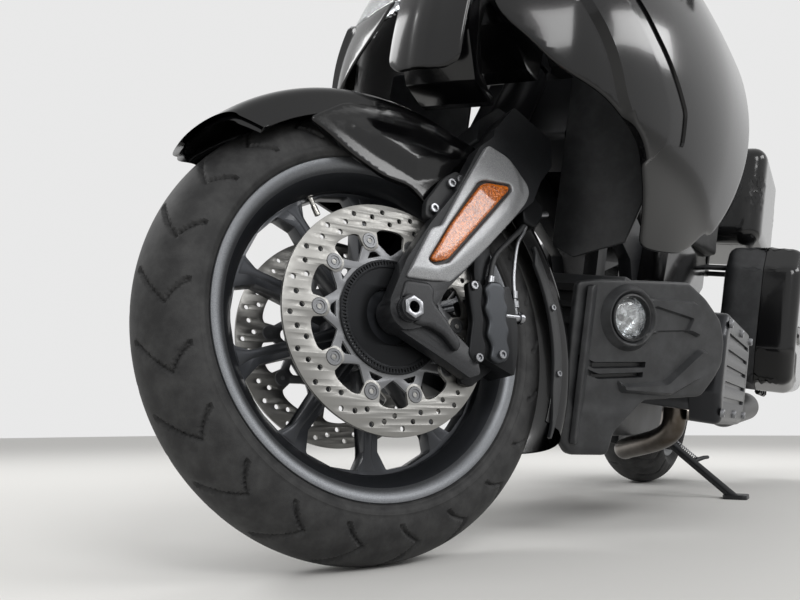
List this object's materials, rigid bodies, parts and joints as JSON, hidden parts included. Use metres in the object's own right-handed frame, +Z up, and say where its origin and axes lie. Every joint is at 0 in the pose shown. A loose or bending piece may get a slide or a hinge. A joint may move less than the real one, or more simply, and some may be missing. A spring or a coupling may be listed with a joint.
{
  "type": "touring motorcycle",
  "caption": "Touring motorcycle with full fairing, side cases and top trunk, leaning on its side stand with the front wheel turned.",
  "frame": {"origin": "on the floor below the middle of the outer box", "axes": "+X towards the rear of the motorcycle, +Y to its right, +Z up"},
  "size_m": [2.4977, 1.0054, 1.3682],
  "materials": {
    "black_gloss": "black clear-coated paint",
    "dark_panel": "dark grained plastic",
    "wheel_dark": "dark painted cast aluminium with a machined rim",
    "tyre": "black tyre rubber",
    "disc_steel": "ground stainless steel",
    "fork_grey": "dark cast aluminium",
    "cover_silver": "silver grey metallic paint",
    "amber": "amber prismatic plastic",
    "caliper_grey": "dark anodized aluminium",
    "engine_grey": "dark cast aluminium",
    "lens": "clear lens",
    "red_lens": "red lens",
    "screen": "clear screen",
    "frame_black": "black frame paint",
    "steel_dark": "heat-tinted stainless steel",
    "leather": "black grained seat cover",
    "rubber": "black rubber",
    "plastic_black": "black plastic",
    "mirror": "black gloss housing"
  },
  "bodies": {
    "root": {"backrest": "leather", "case_left": "black_gloss", "case_right": "black_gloss", "cylinder_covers": "engine_grey", "dash": "plastic_black", "engine_block": "engine_grey", "exhaust": "steel_dark", "fog_lamps": "lens", "footrests": "rubber", "frame": "frame_black", "front_cowl": "black_gloss", "headlamps": "lens", "inner_cowls": "plastic_black", "lower_cowl": "dark_panel", "mirrors": "mirror", "mufflers": "steel_dark", "radiators": "frame_black", "rear_caliper": "caliper_grey", "rear_fender": "plastic_black", "seat": "leather", "side_covers": "plastic_black", "side_cowl_left": "black_gloss", "side_cowl_right": "black_gloss", "swingarm": "engine_grey", "tail_lamps": "red_lens", "tank_cover": "black_gloss", "trunk": "black_gloss", "windscreen": "screen"},
    "fork": {"fork_holder": "fork_grey", "fork_covers": "cover_silver", "fork_reflectors": "amber", "front_calipers": "caliper_grey", "front_fender": "black_gloss"},
    "front_wheel": {"front_tyre": "tyre", "front_wheel": "wheel_dark", "front_discs": "disc_steel"},
    "rear_wheel": {"rear_tyre": "tyre", "rear_wheel": "wheel_dark", "rear_disc": "disc_steel"},
    "handlebar": {"handlebar": "frame_black", "grips": "rubber", "controls": "plastic_black"},
    "side_stand": {"side_stand": "frame_black"},
    "centre_stand": {"centre_stand": "frame_black"},
    "case_lid_left": {"case_lid_left": "black_gloss"},
    "case_lid_right": {"case_lid_right": "black_gloss"},
    "trunk_lid": {"trunk_lid": "black_gloss"},
    "fuel_lid": {"fuel_lid": "black_gloss"}
  },
  "joints": [
    {"name": "steering", "type": "hinge", "parent": "root", "child": "fork", "pos_m": [-1.07264, 0.13735, 0.00189], "axis": [0.5077, -0.1441, 0.8494], "range_deg": [0, 61.2]},
    {"name": "handlebar_turn", "type": "hinge", "parent": "root", "child": "handlebar", "pos_m": [-0.36343, -0.01739, 0.91369], "axis": [0.5077, -0.1441, 0.8494], "range_deg": [0, 61.2]},
    {"name": "front_wheel_spin", "type": "hinge", "parent": "fork", "child": "front_wheel", "pos_m": [-0.95537, 0.11896, 0.31801], "axis": [0.4386, 0.8918, -0.1108], "continuous": true},
    {"name": "rear_wheel_spin", "type": "hinge", "parent": "root", "child": "rear_wheel", "pos_m": [0.73143, 0.08495, 0.31027], "axis": [0, 0.9859, 0.1673], "continuous": true},
    {"name": "side_stand_fold", "type": "hinge", "parent": "root", "child": "side_stand", "pos_m": [0.2764, -0.03606, 0.15676], "axis": [0.0059, -0.6567, 0.7541], "range_deg": [0, 95]},
    {"name": "centre_stand_drop", "type": "hinge", "parent": "root", "child": "centre_stand", "pos_m": [0.3284, 0.10791, 0.17509], "axis": [0, 0.9859, 0.1673], "range_deg": [0, 100]},
    {"name": "case_lid_left_open", "type": "hinge", "parent": "root", "child": "case_lid_left", "pos_m": [0.90643, -0.24177, 0.28704], "axis": [1, 0, -0.0002], "range_deg": [0, 60]},
    {"name": "case_lid_right_open", "type": "hinge", "parent": "root", "child": "case_lid_right", "pos_m": [0.90645, 0.40104, 0.39611], "axis": [-1, 0, 0.0002], "range_deg": [0, 60]},
    {"name": "trunk_lid_open", "type": "hinge", "parent": "root", "child": "trunk_lid", "pos_m": [0.77362, -0.05771, 1.15104], "axis": [0, -0.9859, -0.1673], "range_deg": [0, 60]},
    {"name": "fuel_lid_open", "type": "hinge", "parent": "root", "child": "fuel_lid", "pos_m": [-0.14109, -0.01114, 0.87678], "axis": [0, 0.9859, 0.1673], "range_deg": [0, 80]}
  ],
  "couplings": [
    {"joint": "handlebar_turn", "follows": "steering", "ratio": 1}
  ]
}
